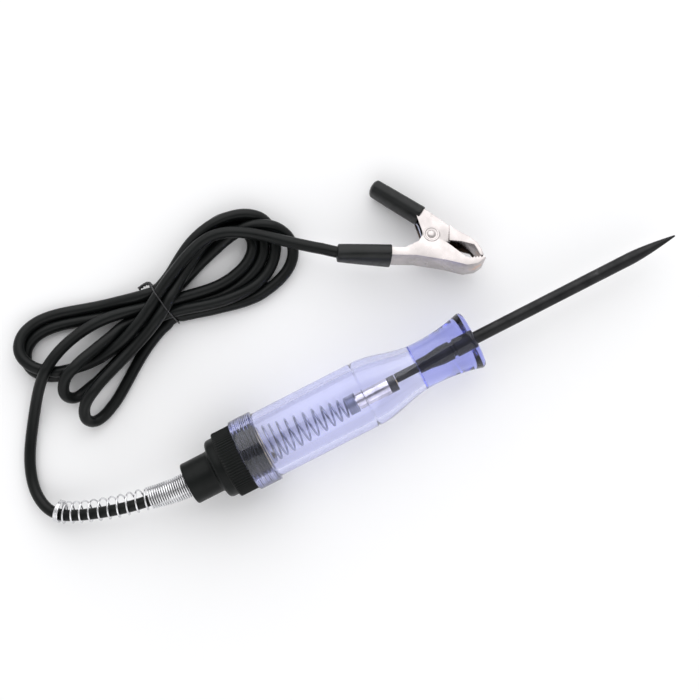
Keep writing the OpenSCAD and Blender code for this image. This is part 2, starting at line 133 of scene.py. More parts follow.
# Each fold of the hank, from the tie out to one end and back to the tie
folds = [
    [(-86, 48, 8), (-81, 49, 8), (-75, 50, 8), (-68, 49, 8), (-62, 47, 8)],
    [(-56, 46, 8), (-50, 45, 7), (-41, 43, 6), (-34, 45, 5), (-29, 48, 4.5), (-26, 52, 4.5), (-27, 55, 4.5),
     (-31, 57, 4.5), (-37, 57, 5), (-43, 55, 5.5), (-49, 52, 6.5), (-56, 45, 8)],
    [(-60, 43, 8), (-66, 40.5, 7.4), (-73, 37.8, 7.4), (-79, 35.6, 8.2), (-84.7, 33.2, 8.8), (-88, 31, 7.75),
     (-89.6, 28.2, 5.2), (-88.4, 26.5, 2.65), (-85.3, 26.8, 1.6), (-81, 28.8, 1.6), (-73, 34, 1.5),
     (-65, 39, 2)],
    [(-57, 42, 2.5), (-51, 40, 2), (-42, 39, 1.5), (-35, 37, 1.5), (-28, 38, 1.5), (-23, 39, 1.5),
     (-19, 43, 2.5), (-19.5, 48.5, 5), (-23, 53, 7.5), (-28, 55, 8), (-32, 54, 7), (-38, 54, 6), (-44, 52, 5),
     (-50, 49, 5), (-57, 47, 5)],
    [(-65, 45, 5.5), (-72, 44, 6.4), (-80, 42.6, 8.2), (-86.6, 41.2, 8.9), (-90, 39.2, 7.8),
     (-91.7, 36.5, 5.25), (-90.5, 34.7, 2.7), (-87.4, 34.8, 1.6), (-80, 36.8, 1.6), (-73, 39.6, 1.5),
     (-65, 43, 2)],
    [(-57, 45, 2.5), (-50, 42, 2), (-43, 41, 1.5), (-35, 42, 1.5), (-29, 44, 1.5), (-26, 48, 1.5),
     (-25, 52, 1.5), (-27, 57, 1.5), (-33, 59, 1.5), (-40, 58, 1.5), (-46, 55, 2), (-57, 49, 2.5)],
    [(-62, 49, 2.5), (-68, 50, 2), (-76, 51, 1.5), (-84, 54, 1.5), (-91, 55.5, 1.5), (-97, 53, 1.5),
     (-98, 47, 1.5), (-92, 42, 1.5), (-83, 42, 2), (-74, 42, 4), (-66, 43, 4.5)],
    [(-56, 44, 5), (-49, 41, 5), (-41, 39, 4.5), (-33, 39, 4.5), (-27, 42, 4.5), (-23, 46, 4.5),
     (-23, 52, 4.5), (-26, 57, 4.5), (-34, 59, 4.5), (-41, 58, 4.5), (-48, 54, 5), (-57, 50, 5)],
    [(-62, 51, 4.5), (-68, 52, 3), (-79, 55, 2), (-88, 57, 1.5), (-95, 56, 2.5), (-98.5, 50.5, 4),
     (-95, 45, 5), (-88, 42, 4.5), (-80, 41, 5), (-72, 42, 6.5), (-63, 45, 8)],
    [(-57, 49, 8), (-50, 52, 8), (-44, 55, 7.8), (-38.8, 56.8, 7.8), (-35.5, 56.5, 7.8), (-32.2, 55.1, 7.8),
     (-29, 53, 8), (-26.2, 51, 8.4), (-23.5, 48.6, 8.8), (-20.1, 45.4, 9.4), (-17.3, 43.1, 10)]]
lead_in = [(-13.7, 40.4, 10.5), (-9.4, 36.8, 11), (-4.5, 33.2, 10.4)]
tie_at = np.array([-57.0, 46.1])
tie_way = np.array([math.cos(math.radians(8)), math.sin(math.radians(8))])


def spline(points, step):
    """Catmull-Rom curve through points, as points no further apart than step."""
    p = np.array(points, float)
    ends = np.concatenate([p[:1], p, p[-1:]])
    parts = []
    for a, b, c, d in zip(ends, ends[1:], ends[2:], ends[3:]):
        count = max(2, int(np.linalg.norm(c - b) / step) + 1)
        u = np.linspace(0, 1, count, endpoint=False)[:, None]
        parts.append(0.5 * (2 * b + (c - a) * u + (2 * a - 5 * b + 4 * c - d) * u**2
                            + (3 * b - a - 3 * c + d) * u**3))
    return np.concatenate(parts + [p[-1:]])


def evenly(points, step):
    """The same line with its points about step apart along it."""
    run = np.r_[0, np.cumsum(np.linalg.norm(np.diff(points, axis=0), axis=1))]
    at = np.linspace(0, run[-1], max(2, int(round(run[-1] / step)) + 1))
    return np.stack([np.interp(at, run, points[:, k]) for k in range(3)], 1)


def settled(route, step, rounds):
    """The route as a real lead takes it. Each round pulls every point a little towards the route, evens out
    the bends, moves runs that touch a diameter apart, keeps the nine runs at the tie inside its band, keeps
    the lead on the bench, and brings the points back to one step apart. The last rounds let it sink. Both
    ends and the two folds that lie tilted keep the route."""
    aim, p, n = route.copy(), route.copy(), len(route)
    gap = int(2.4 * LEAD_D / step)
    free = np.ones((n, 1))
    free[:int(58 / step)] = 0
    free[-9:] = 0
    for tilted in ((-87, 30), (-88.8, 38)):
        free[np.linalg.norm(route[:, :2] - tilted, axis=1) < 5.6] = 0
    across = np.array([-tie_way[1], tie_way[0]])
    for count in range(rounds):
        late = count > 0.6 * rounds
        if count % 8 == 0:
            q = p.astype(np.float32)
            i, j = np.nonzero(((q[:, None] - q[None]) ** 2).sum(-1) < (1.5 * LEAD_D) ** 2)
            i, j = i[j - i > gap], j[j - i > gap]
        p += free * (0.03 if late else 0.1) * (aim - p) * ([1, 1, 0] if late else [1, 1, 0.6])
        for reach, share in ((1, 0.8), (2, 0.5), (4, 0.35)):
            bend = np.zeros_like(p)
            a, b = 2 * reach, n - 2 * reach
            bend[a:b] = (p[:b - a] - 4 * p[reach:b - reach] + 6 * p[a:b] - 4 * p[a + reach:b + reach]
                         + p[2 * a:]) / 16
            p -= free * share * bend
        if late:
            p[:, 2:] -= free * 0.02
        for _ in range(2):
            apart = p[i] - p[j]
            far = np.linalg.norm(apart, axis=1) + 1e-9
            push = np.where(far < LEAD_D, (LEAD_D - far) / far, 0)[:, None] * apart * 0.5
            moved = np.stack([np.bincount(i, push[:, k], n) - np.bincount(j, push[:, k], n)
                              for k in range(3)], 1)
            hits = np.bincount(i, far < LEAD_D, n) + np.bincount(j, far < LEAD_D, n)
            p += free * moved / np.maximum(hits, 1)[:, None] ** 0.5
            p[:, 2] = np.maximum(p[:, 2], LEAD_D / 2)
        near = (np.abs((p[:, :2] - tie_at) @ tie_way) < 1.6) & (free[:, 0] > 0)
        off = (p[:, :2] - tie_at) @ across
        over = np.clip(np.abs(off) - 4.2, 0, None) * np.sign(off)
        p[:, :2] -= (near * over * 0.6)[:, None] * across
        for _ in range(2):
            edge = p[1:] - p[:-1]
            long = np.linalg.norm(edge, axis=1, keepdims=True)
            fix = (long - step) / long * edge * 0.35
            moved = np.zeros_like(p)
            moved[:-1] += fix
            moved[1:] -= fix
            p += free * moved
    return p


LEAD_STEP, LEAD_ROUNDS = 1.3, 440
lead_route = evenly(spline(lead_out + [q for fold in folds for q in fold] + lead_in, 0.5), LEAD_STEP)
lead_line = settled(lead_route, LEAD_STEP, LEAD_ROUNDS)
lead_fine = evenly(spline(lead_line, 0.4), 0.8)


def carried(path, profile, closed=False):
    """A grid of points: a flat profile carried along a path. At each point of the path the profile's two
    numbers are measured along two directions square to the path, which turn with it as little as possible."""
    path = np.asarray(path, float)
    way = (np.roll(path, -1, 0) - np.roll(path, 1, 0)) if closed else np.gradient(path, axis=0)
    way /= np.linalg.norm(way, axis=1, keepdims=True)
    side = np.empty_like(way)
    first = np.cross(way[0], (0, 0, 1) if abs(way[0][2]) < 0.9 else (1, 0, 0))
    for i in range(len(way)):
        first = first - way[i] * (first @ way[i])
        first /= np.linalg.norm(first)
        side[i] = first
    if closed:
        end = side[-1] - way[0] * (side[-1] @ way[0])
        slip = math.atan2(np.cross(side[0], end) @ way[0], side[0] @ end)
        turn = -np.linspace(0, slip, len(way), endpoint=False)[:, None]
        side = side * np.cos(turn) + np.cross(way, side) * np.sin(turn)
    up = np.cross(way, side)
    profile = np.asarray(profile, float)
    profile = profile if profile.ndim == 3 else np.broadcast_to(profile, (len(path),) + profile.shape)
    return path[:, None] + profile[..., :1] * side[:, None] + profile[..., 1:] * up[:, None]


def ring(radius, count):
    """A circle of points as a profile."""
    a = np.linspace(0, 2 * math.pi, count, endpoint=False)
    return np.stack([radius * np.cos(a), radius * np.sin(a)], 1)


def skin(name, grid, mat, loop_u=False, loop_v=True, ends=True, along=None, smooth=True):
    """An object whose faces join each ring of a grid to the next, with its ends closed by a fan. Its UV map
    holds the way along it in metres and the way round it from 0 to 1."""
    grid = np.asarray(grid, float)
    m, n = grid.shape[:2]
    i = np.arange(m if loop_u else m - 1)[:, None]
    j = np.arange(n if loop_v else n - 1)[None]
    i2, j2 = (i + 1) % m, (j + 1) % n
    quads = np.stack([i * n + j, i * n + j2, i2 * n + j2, i2 * n + j], -1).reshape(-1, 4)
    run = np.linalg.norm(np.diff(grid, axis=0), axis=2).mean(1) * 0.001
    run = np.r_[0, np.cumsum(run), 0] if along is None else np.r_[along, 0]
    run[-1] = run[-2] + (run[1] - run[0])
    u = np.stack([run[i + 0 * j], run[i + 0 * j], run[i + 1 + 0 * j], run[i + 1 + 0 * j]], -1)
    v = np.stack([j + 0 * i, j + 1 + 0 * i, j + 1 + 0 * i, j + 0 * i], -1) / n
    uv = np.stack([u, v], -1).reshape(-1, 2)
    points, faces = grid.reshape(-1, 3), [tuple(q) for q in quads]
    if ends and not loop_u:
        points = np.concatenate([points, grid[:1].mean(1), grid[-1:].mean(1)])
        hub, last = m * n, (m - 1) * n
        k = np.arange(n)
        near = np.stack([(k + 1) % n, k, np.full(n, hub)], 1)
        far = np.stack([last + k, last + (k + 1) % n, np.full(n, hub + 1)], 1)
        faces += [tuple(f) for f in near] + [tuple(f) for f in far]
        uv = np.concatenate([uv, np.full((6 * n, 2), 0.5)])
    obj = mesh_object(name, points, faces, mat, smooth)
    layer = obj.data.uv_layers.new(name="along")
    layer.data.foreach_set("uv", uv.astype(np.float32).ravel())
    return obj


def noise(tree, source, scale, detail=3.0, rough=0.5):
    """A noise texture on a coordinate."""
    node = tree.nodes.new("ShaderNodeTexNoise")
    node.inputs["Scale"].default_value = scale
    node.inputs["Detail"].default_value = detail
    node.inputs["Roughness"].default_value = rough
    tree.links.new(source, node.inputs["Vector"])
    return node.outputs["Fac"]


def coordinate(tree, kind="Object"):
    """The piece's own coordinates, in metres for Object and for the UV map's way along."""
    return tree.nodes.new("ShaderNodeTexCoord").outputs[kind]


def ramp(tree, source, *stops):
    """A colour ramp through stops of a place and a colour or grey."""
    node = tree.nodes.new("ShaderNodeValToRGB")
    while len(node.color_ramp.elements) < len(stops):
        node.color_ramp.elements.new(0.5)
    for element, (place, colour) in zip(node.color_ramp.elements, stops):
        element.position = place
        element.color = (colour, colour, colour, 1) if isinstance(colour, (int, float)) else (*colour, 1)
    tree.links.new(source, node.inputs["Fac"])
    return node.outputs["Color"]


def mottled(tree, shader, socket, source, *stops):
    """Varies a shader's colour or roughness over the surface, by a ramp through stops of a noise."""
    tree.links.new(ramp(tree, source, *stops), shader.inputs[socket])


def bumped(tree, principled, height, strength, distance, under=None):
    """Adds a bump of a depth in metres to a shader, over another bump if one is given."""
    node = tree.nodes.new("ShaderNodeBump")
    node.inputs["Strength"].default_value = strength
    node.inputs["Distance"].default_value = distance
    tree.links.new(height, node.inputs["Height"])
    if under is not None:
        tree.links.new(under, node.inputs["Normal"])
    tree.links.new(node.outputs["Normal"], principled.inputs["Normal"])
    return node.outputs["Normal"]


lead_pvc, tree, shader = new_material("lead_pvc", Specular_IOR_Level=0.2)
at = coordinate(tree)
mottled(tree, shader, "Base Color", noise(tree, at, 90, 4),
        (0.3, (0.0020, 0.0027, 0.0027)), (0.7, (0.005, 0.0062, 0.0062)))
mottled(tree, shader, "Roughness", noise(tree, at, 260, 5, 0.6), (0.3, 0.30), (0.75, 0.44))
pores = bumped(tree, shader, noise(tree, at, 2600, 3), 0.25, 0.00004)
bumped(tree, shader, noise(tree, at, 240, 2), 0.12, 0.0002, pores)

lead = skin("lead", carried(lead_fine, ring(LEAD_D / 2, 20)), lead_pvc)
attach(lead, "root")
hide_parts("cord_lead", "cord_hank", "cord_tail")

# ------------------------------------------------------------------ tie
# The band that holds the hank: a plastic-covered wire, 1.1 mm wide, drawn round the nine runs of the lead,
# with its two ends twisted together beside the bundle.
beside = (lead_fine[:, :2] - tie_at) @ tie_way
crosses = np.nonzero((beside[:-1] * beside[1:] <= 0) & (np.abs(lead_fine[:-1, :2] - tie_at).max(1) < 12))[0]
across = np.array([-tie_way[1], tie_way[0]])
runs = np.stack([(lead_fine[crosses, :2] - tie_at) @ across, lead_fine[crosses, 2]], 1)


def drawn_round(centres, radius, count):
    """The tight loop round circles of one radius: for each direction, the point that lies furthest that way
    on any of them, with the points then spread evenly along the loop."""
    a = np.linspace(0, 2 * math.pi, 720)
    way = np.stack([np.cos(a), np.sin(a)], 1)
    loop = centres[np.argmax(centres @ way.T, axis=0)] + radius * way
    loop = np.concatenate([loop, loop[:1]])
    far = np.r_[0, np.cumsum(np.linalg.norm(np.diff(loop, axis=0), axis=1))]
    at = np.linspace(0, far[-1], count, endpoint=False)
    return np.stack([np.interp(at, far, loop[:, k]) for k in range(2)], 1)


def rounded(wide, high, corner, steps=4):
    """The outline of a rectangle with rounded corners, as a profile."""
    a = np.linspace(0, math.pi / 2, steps + 1)
    corners = [((1, 1), 0), ((-1, 1), 1), ((-1, -1), 2), ((1, -1), 3)]
    return np.concatenate([np.stack([
        sx * (wide / 2 - corner) + corner * np.cos(a + q * math.pi / 2),
        sy * (high / 2 - corner) + corner * np.sin(a + q * math.pi / 2)], 1) for (sx, sy), q in corners])


band_line = drawn_round(runs, LEAD_D / 2 + 0.16, 160)
band_path = np.concatenate([tie_at + band_line[:, :1] * across, np.maximum(band_line[:, 1:], 0.56)], 1)

tie_plastic, tree, shader = new_material("tie_plastic", Specular_IOR_Level=0.55)
at = coordinate(tree)
mottled(tree, shader, "Base Color", noise(tree, at, 300, 3),
        (0.3, (0.010, 0.010, 0.011)), (0.7, (0.022, 0.022, 0.025)))
mottled(tree, shader, "Roughness", noise(tree, at, 900, 3), (0.3, 0.24), (0.7, 0.36))
bumped(tree, shader, noise(tree, at, 1500, 3), 0.3, 0.00005)

hank_tie = skin("hank_tie", carried(band_path, rounded(1.1, 0.34, 0.15), closed=True), tie_plastic,
                loop_u=True)
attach(hank_tie, "root")
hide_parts("cord_tie")


def wound(line, radius, turns, steps, start=0.0):
    """A helix about a line of points: turns of a radius, spread evenly along it."""
    fine = evenly(spline(line, 0.1), 0.02)
    at = np.linspace(0, len(fine) - 1, int(turns * steps) + 1)
    centre = np.stack([np.interp(at, np.arange(len(fine)), fine[:, k]) for k in range(3)], 1)
    way = np.gradient(centre, axis=0)
    way /= np.linalg.norm(way, axis=1, keepdims=True)
    a = np.cross(way, (0, 0, 1))
    a /= np.linalg.norm(a, axis=1, keepdims=True)
    b = np.cross(a, way)
    angle = start + 2 * math.pi * np.linspace(0, turns, len(at))[:, None]
    return centre + radius * (np.cos(angle) * a + np.sin(angle) * b)


left = band_path[np.argmax(band_line[:, 0])]
stub = [left + q for q in ((0, -0.1, 0.6), (-0.1, 0.5, 0.3), (-0.7, 1.0, -0.5), (-2.0, 1.1, -1.4),
                           (-3.6, 0.9, -2.0))]
for side in (0, 1):
    end = skin(f"tie_end_{side + 1}", carried(wound(stub, 0.27, 2.6, 18, side * math.pi), ring(0.26, 10)),
               tie_plastic)
    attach(end, "root")

# ------------------------------------------------------------------ strain relief
# A spring of bright steel wire, 0.5 mm thick. It is close-wound where the cap holds it, opens into ten wide
# turns as the lead bends down to the bench, and ends in three closed turns.
RELIEF_WIRE = 0.5


def on_route(points, t):
    """Catmull-Rom point of a route at each t, where whole values of t are the route's own points."""
    p = np.array(points, float)
    i = np.minimum(np.floor(t).astype(int), len(p) - 2)
    u = (t - i)[:, None]
    a, b, c, d = p[np.maximum(i - 1, 0)], p[i], p[i + 1], p[np.minimum(i + 2, len(p) - 1)]
    return 0.5 * (2 * b + (c - a) * u + (2 * a - 5 * b + 4 * c - d) * u**2 + (3 * b - a - 3 * c + d) * u**3)


def smooth(u):
    """Eases from 0 to 1."""
    u = np.clip(u, 0, 1)
    return u * u * (3 - 2 * u)


turns = np.linspace(0, 37, 37 * 30 + 1)
place = np.interp(turns, (0, 24, 34, 37), (1.42, 3.9, 8.05, 8.32))
way = on_route(lead_out, place + 0.05) - on_route(lead_out, place - 0.05)
way /= np.linalg.norm(way, axis=1, keepdims=True)
aside = np.cross(way, (0, 0, 1))
aside /= np.linalg.norm(aside, axis=1, keepdims=True)
over = np.cross(aside, way)
reach = np.interp(turns, (0, 24), (3.4, 2.85))[:, None]
lean = 0.8 * smooth((place - 2.6) / 2)[:, None]
angle = 2 * math.pi * turns[:, None]
relief_line = (on_route(lead_out, place) + lean * aside
               + reach * (np.cos(angle) * aside + np.sin(angle) * over))


def wire_steel(name, colour, rough):
    """Bright drawn wire: a metal with fine lines along the wire and a little grime between them."""
    mat, tree, shader = new_material(name, Metallic=1.0)
    line = tree.nodes.new("ShaderNodeMapping")
    line.inputs["Scale"].default_value = (60, 40, 1)
    tree.links.new(coordinate(tree, "UV"), line.inputs["Vector"])
    lines = noise(tree, line.outputs["Vector"], 1.0, 3)
    spots = noise(tree, coordinate(tree), 420, 3)
    mottled(tree, shader, "Base Color", spots, (0.35, tuple(0.72 * c for c in colour)), (0.6, colour))
    mottled(tree, shader, "Roughness", lines, (0.3, rough), (0.7, rough + 0.12))
    bumped(tree, shader, lines, 0.15, 0.00002)
    return mat


relief_steel = wire_steel("relief_steel", (0.82, 0.82, 0.84), 0.16)
strain_relief = skin("relief_spring", carried(relief_line, ring(RELIEF_WIRE / 2, 10)), relief_steel)
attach(strain_relief, "root")
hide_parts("strain_relief")

# ------------------------------------------------------------------ rear cap
# The black cap, moulded in one piece: a ribbed ring to turn it by, a rounded shoulder, a neck that holds the
# strain relief, and a threaded spigot that screws into the barrel. The thread shows through the clear flange.
AXIS_Z = 9.95
AXIS = np.array([0, 0, AXIS_Z])
FLANGE_X, RING_X, TAIL_X, SPIGOT_X = -55.9, -61.3, -72.3, -50.1
GRIP_R, RIBS = 9.2, 72


def turned(name, x, r, mat, columns=96, wave=None):
    """A body turned about the handle's axis from stations x and radii r, given from one end to the other.
    wave is added to the radius for each station and angle. The first and last rings are closed over."""
    x, r = np.asarray(x, float), np.asarray(r, float)
    a = np.linspace(0, 2 * math.pi, columns, endpoint=False)
    radius = np.broadcast_to(r[:, None], (len(r), columns))
    radius = radius + (0 if wave is None else wave(x[:, None], a[None]))
    grid = np.stack([np.broadcast_to(x[:, None], radius.shape), radius * np.cos(a), radius * np.sin(a)], -1)
    run = np.r_[0, np.cumsum(np.hypot(np.diff(x), np.diff(r)))] * 0.001
    return skin(name, grid + AXIS, mat, along=run)


def through(*corners, step=0.5, fillet=0.25, arc=4):
    """Stations and radii along a line through corners, each rounded by a fillet unless the corner has its own
    as a third number. A corner's fillet starts and ends that far from it along both sides."""
    p = np.array([c[:2] for c in corners], float)
    cut = np.array([c[2] if len(c) > 2 else fillet for c in corners], float)
    out = [p[:1]]
    for i in range(1, len(p) - 1):
        a, b = p[i - 1] - p[i], p[i + 1] - p[i]
        la, lb = np.linalg.norm(a), np.linalg.norm(b)
        d = min(cut[i], 0.49 * la, 0.49 * lb)
        u = np.linspace(0, 1, arc + 1)[:, None]
        start, end = p[i] + a / la * d, p[i] + b / lb * d
        out.append((1 - u) ** 2 * start + 2 * u * (1 - u) * p[i] + u**2 * end)
    out.append(p[-1:])
    line = np.concatenate(out)
    far = np.linalg.norm(np.diff(line, axis=0), axis=1)
    parts = [np.linspace(a, b, max(1, int(math.ceil(l / step))), endpoint=False)
             for a, b, l in zip(line, line[1:], far)]
    line = np.concatenate(parts + [line[-1:]])
    return line[:, 0], line[:, 1]


def ribbed(x, a):
    """Seventy-two rounded ribs round the grip ring, fading out over its chamfers."""
    inside = np.clip((x - RING_X - 0.15) / 0.35, 0, 1) * np.clip((FLANGE_X - 0.1 - x) / 0.35, 0, 1)
    return -0.34 * (0.5 - 0.5 * np.cos(RIBS * a)) ** 0.8 * inside


cap_black, tree, shader = new_material("cap_black", Specular_IOR_Level=0.16)
at = coordinate(tree)
mottled(tree, shader, "Base Color", noise(tree, at, 120, 4),
        (0.3, (0.0020, 0.0027, 0.0026)), (0.7, (0.0045, 0.0058, 0.0055)))
mottled(tree, shader, "Roughness", noise(tree, at, 500, 5, 0.65), (0.3, 0.34), (0.75, 0.5))
sparks = bumped(tree, shader, noise(tree, at, 3200, 2), 0.35, 0.00004)
bumped(tree, shader, noise(tree, at, 160, 2), 0.1, 0.0003, sparks)

x, r = through((-68.3, 1.6), (-68.3, 4.0, 0.1), (TAIL_X, 4.0, 0.15), (TAIL_X, 5.75, 0.5), (-64.3, 5.75, 0.9),
               (-64.0, 8.25, 1.6), (RING_X, 8.25, 0.15), (RING_X, GRIP_R, 0.3), (FLANGE_X, GRIP_R, 0.3),
               (FLANGE_X, 6.9, 0.1), (SPIGOT_X, 6.9, 0.3), (SPIGOT_X, 6.3), step=0.45)
rear_cap = turned("rear_cap_body", x, r, cap_black, columns=RIBS * 6, wave=ribbed)
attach(rear_cap, "root")
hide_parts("rear_cap")

THREAD_PITCH = 1.0


def threaded(depth):
    """A single-start thread: a rounded ridge whose place along the axis moves one pitch with each turn."""
    return lambda x, a: depth * (0.5 + 0.5 * np.cos(2 * math.pi * (x / THREAD_PITCH) + a)) ** 1.5


x, r = through((FLANGE_X, 6.5), (FLANGE_X, 6.98, 0.05), (SPIGOT_X + 0.02, 6.98, 0.2),
               (SPIGOT_X + 0.02, 6.5), step=0.1)
cap_thread = turned("cap_thread", x, r, cap_black, columns=120, wave=threaded(0.4))
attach(cap_thread, "root")

# ------------------------------------------------------------------ terminal and contact spring
# A plated brass disc closes the spigot and takes the lead's bared wire at its back. The contact spring stands
# on it: eleven open turns that narrow towards the lamp, and five close turns on the lamp's stub.
LAMP_Y = -0.9
TERMINAL_X = SPIGOT_X + 0.5
LAMP_X = -22.6


def plated(name, colour, rough):
    """Plated sheet or turned metal, a little duller in patches, with fine turning lines as a bump."""
    mat, tree, shader = new_material(name, Metallic=1.0)
    at = coordinate(tree)
    patches = noise(tree, at, 260, 4)
    mottled(tree, shader, "Base Color", patches, (0.3, tuple(0.7 * c for c in colour)), (0.62, colour))
    mottled(tree, shader, "Roughness", noise(tree, at, 700, 4), (0.3, rough), (0.7, rough + 0.14))
    bumped(tree, shader, noise(tree, at, 2400, 3), 0.2, 0.00003)
    return mat


def finish(name, mat):
    """Gives a CAD node that is shown as it is a material of its own."""
    nodes[name].data.materials.clear()
    nodes[name].data.materials.append(mat)


brass = plated("brass_plating", (0.83, 0.70, 0.44), 0.22)
finish("cap_terminal", brass)
copper = plated("copper_strands", (0.80, 0.42, 0.26), 0.3)
finish("cord_conductor_cap", copper)
finish("cord_conductor_clip", copper)

t = np.linspace(0, 16, 16 * 30 + 1)
u, v = np.clip(t / 11, 0, 1), np.clip((t - 11) / 5, 0, 1)
coil_r = np.where(t < 11, 5.4 + (2.4 - 5.4) * u**0.9, 2.4)
rear, front = TERMINAL_X + 0.27, LAMP_X - 3
coil_x = np.where(t < 11, rear + (front - rear) * (0.7 * u**1.15 + 0.3 * smooth(u)),
                  front + (LAMP_X - 0.27 - front) * v)
coil = np.stack([coil_x, LAMP_Y * u + coil_r * np.cos(2 * math.pi * t),
                 AXIS_Z + coil_r * np.sin(2 * math.pi * t)], 1)
# Steel for the springs inside the barrel and the clip, painted darker and bluer than the bright relief wire:
# painted shade with a painted blue cast.
shaded_steel = wire_steel("shaded_steel", (0.40, 0.42, 0.52), 0.18)
contact_spring = skin("contact_coil", carried(coil, ring(0.27, 10)), shaded_steel)
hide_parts("contact_spring")
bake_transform(contact_spring)

# ------------------------------------------------------------------ lamp
# A 12 V lamp in a nickel-plated brass shell with two windows. A black disc keeps its contact pin off the
# shell, and the pin touches the rear end of the probe.
nickel = plated("lamp_nickel", (0.86, 0.82, 0.82), 0.14)
finish("lamp_shell", nickel)
finish("lamp_contact", brass)
disc_black, tree, shader = new_material("disc_black", Specular_IOR_Level=0.5)
at = coordinate(tree)
mottled(tree, shader, "Base Color", noise(tree, at, 400, 3),
        (0.3, (0.010, 0.010, 0.011)), (0.7, (0.02, 0.02, 0.022)))
mottled(tree, shader, "Roughness", noise(tree, at, 900, 3), (0.3, 0.22), (0.7, 0.34))
bumped(tree, shader, noise(tree, at, 1800, 3), 0.2, 0.00004)
finish("lamp_insulator", disc_black)
filament_wire = plated("filament_wire", (0.42, 0.40, 0.38), 0.35)
finish("lamp_filament", filament_wire)
bulb_glass, tree, shader = new_material("bulb_glass", Base_Color=(0.97, 0.98, 1, 1), Transmission_Weight=1.0,
                                        IOR=1.5)
at = coordinate(tree)
mottled(tree, shader, "Roughness", noise(tree, at, 500, 3), (0.3, 0.0), (0.7, 0.04))
bumped(tree, shader, noise(tree, at, 350, 2), 0.1, 0.0001)
finish("lamp_glass", bulb_glass)

# ------------------------------------------------------------------ barrel
# The handle: one moulding of clear plastic with a violet-blue tint, 68 mm long. It is bored from the flange
# to the waist for the spring and the lamp, its nose is solid round the probe, and the bore's mouth is
# threaded.
NOSE_X, BORE_FRONT_X, BODY_FRONT_X, NECK_FRONT_X, WAIST_X = 12.3, -4.3, -19.5, -3.0, -1.5
BODY_R, WAIST_R, NOSE_R, BORE_R, FLANGE_R = 9.15, 6.2, 8.0, 7.3, 9.95


def barrel_radius(x):
    """Outside radius: straight to the body's front, eased down to the waist, then flared by the square of
    the way to the nose."""
    neck = WAIST_R + (BODY_R - WAIST_R) * smooth((NECK_FRONT_X - x) / (NECK_FRONT_X - BODY_FRONT_X))
    flare = WAIST_R + (NOSE_R - WAIST_R) * np.clip((x - WAIST_X) / (NOSE_X - 1.2 - WAIST_X), 0, 1) ** 2
    return np.where(x > WAIST_X, flare, neck)


mouth = through((FLANGE_X + 0.01, 7.55), (FLANGE_X + 0.01, FLANGE_R, 0.4), (FLANGE_X + 6.4, FLANGE_R, 0.45),
                (FLANGE_X + 6.4, BODY_R, 0.2), (-20.75, BODY_R), step=0.9)
crease_x = np.linspace(-20.7, -19.7, 9)
crease_r = BODY_R - 0.3 * np.exp(-((crease_x + 20.2) / 0.22) ** 2)
neck_x = np.linspace(-19.6, NOSE_X - 1.2, 70)
a = np.linspace(0, math.pi / 2, 9)[1:]
nose_x, nose_r = NOSE_X - 1.2 + 1.2 * np.sin(a), NOSE_R - 1.2 + 1.2 * np.cos(a)
face = (np.array([NOSE_X, NOSE_X, NOSE_X - 0.15, NOSE_X - 0.15]), np.array([5.0, 3.4, 3.0, 0.6]))
outer_x = np.concatenate([mouth[0], crease_x, neck_x, nose_x, face[0]])
outer_r = np.concatenate([mouth[1], crease_r, barrel_radius(neck_x), nose_r, face[1]])
bore_x = np.linspace(BORE_FRONT_X - 0.5, BODY_FRONT_X, 24)
inner_x = np.concatenate([[BORE_FRONT_X, BORE_FRONT_X, BORE_FRONT_X - 0.12], bore_x,
                          np.linspace(-20, SPIGOT_X + 0.5, 20),
                          np.linspace(SPIGOT_X + 0.2, FLANGE_X + 0.02, 58)])
bore_r = barrel_radius(bore_x) * BORE_R / BODY_R
inner_r = np.concatenate([[0.6, bore_r[0] - 0.5, bore_r[0] - 0.1], bore_r, np.full(20, BORE_R),
                          np.full(58, 7.52)])


def bore_thread(x, a):
    """The thread cut into the bore's mouth, in the stations of the inner wall, which come first."""
    here = (np.arange(len(x))[:, None] < len(inner_x)) & (x < SPIGOT_X + 0.1) & (x > FLANGE_X + 0.3)
    return here * 0.16 * (0.5 + 0.5 * np.cos(2 * math.pi * x / THREAD_PITCH + a))


barrel_clear, tree, shader = new_material("barrel_clear", Base_Color=(0.93, 0.935, 1.0, 1),
                                          Transmission_Weight=1.0, IOR=1.49)
at = coordinate(tree)
mottled(tree, shader, "Roughness", noise(tree, at, 220, 4), (0.4, 0.01), (0.75, 0.06))
waves = bumped(tree, shader, noise(tree, at, 55, 2), 0.12, 0.0006)
bumped(tree, shader, noise(tree, at, 1400, 2), 0.03, 0.00003, waves)
tint = tree.nodes.new("ShaderNodeVolumeAbsorption")
tint.inputs["Color"].default_value = (0.20, 0.27, 0.92, 1)
tint.inputs["Density"].default_value = 70
tree.links.new(tint.outputs["Volume"], tree.nodes["Material Output"].inputs["Volume"])

barrel = turned("barrel_body", np.concatenate([inner_x, outer_x]), np.concatenate([inner_r, outer_r]),
                barrel_clear, columns=144, wave=bore_thread)
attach(barrel, "barrel")
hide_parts("barrel")
barrel.visible_shadow = False  # clear plastic lets the lamps through to what is inside

